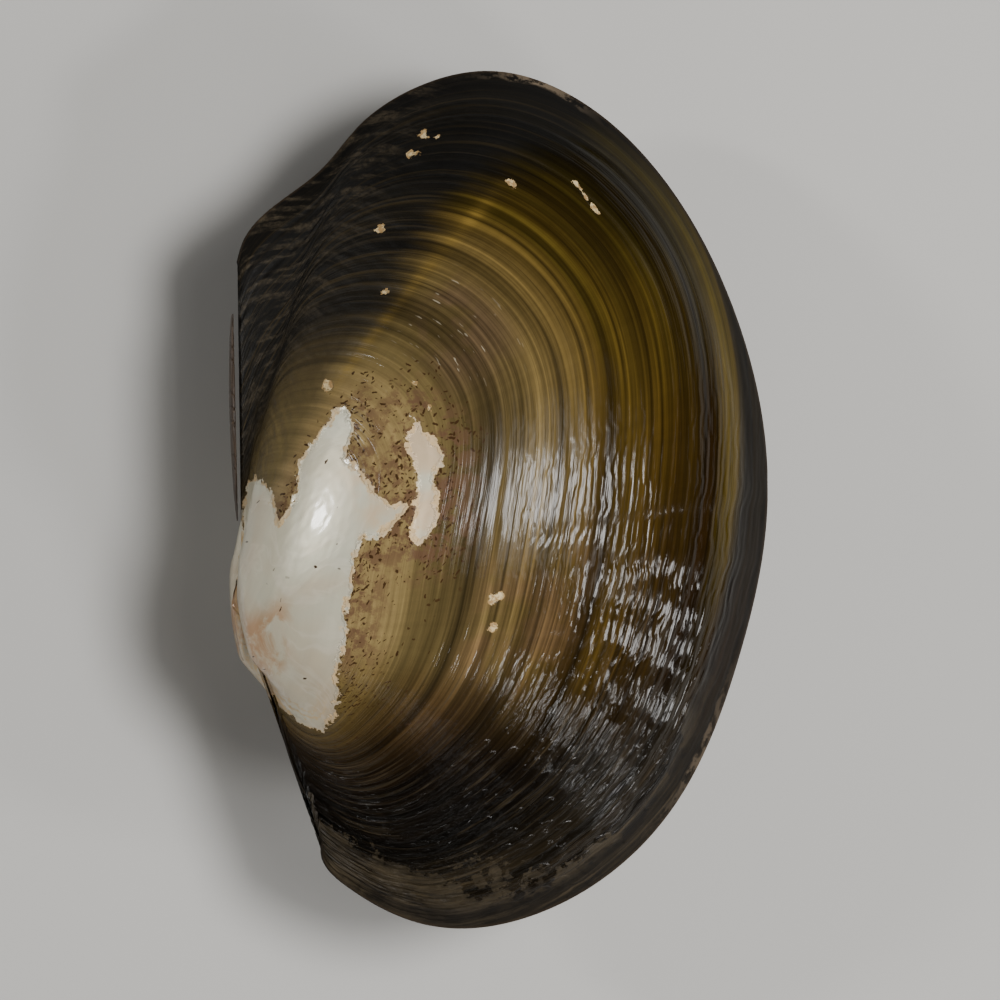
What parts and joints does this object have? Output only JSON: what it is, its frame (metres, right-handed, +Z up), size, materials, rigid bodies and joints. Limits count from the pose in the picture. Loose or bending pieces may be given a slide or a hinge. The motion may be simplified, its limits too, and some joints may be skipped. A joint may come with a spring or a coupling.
{
  "type": "freshwater mussel shell (anodontites trapesialis)",
  "caption": "Closed pair of oval freshwater mussel valves joined by a dark hinge ligament, lying on one side, with olive-brown growth bands and bare pearly beaks.",
  "frame": {"origin": "centre of the underside of the shell's box, on the surface that the shell lies on", "axes": "+Y along the shell's length towards its hind end, +X from the hinge towards the belly edge, +Z up, out of the left valve"},
  "size_m": [0.076, 0.12, 0.0471],
  "materials": {
    "valve": "glossy olive-brown outer skin with dark growth bands, worn through to pearly nacre on the beaks",
    "ligament": "dull dark brown, finely ridged"
  },
  "bodies": {
    "root": {"left_valve": "valve", "right_valve": "valve", "ligament": "ligament"}
  },
  "joints": []
}
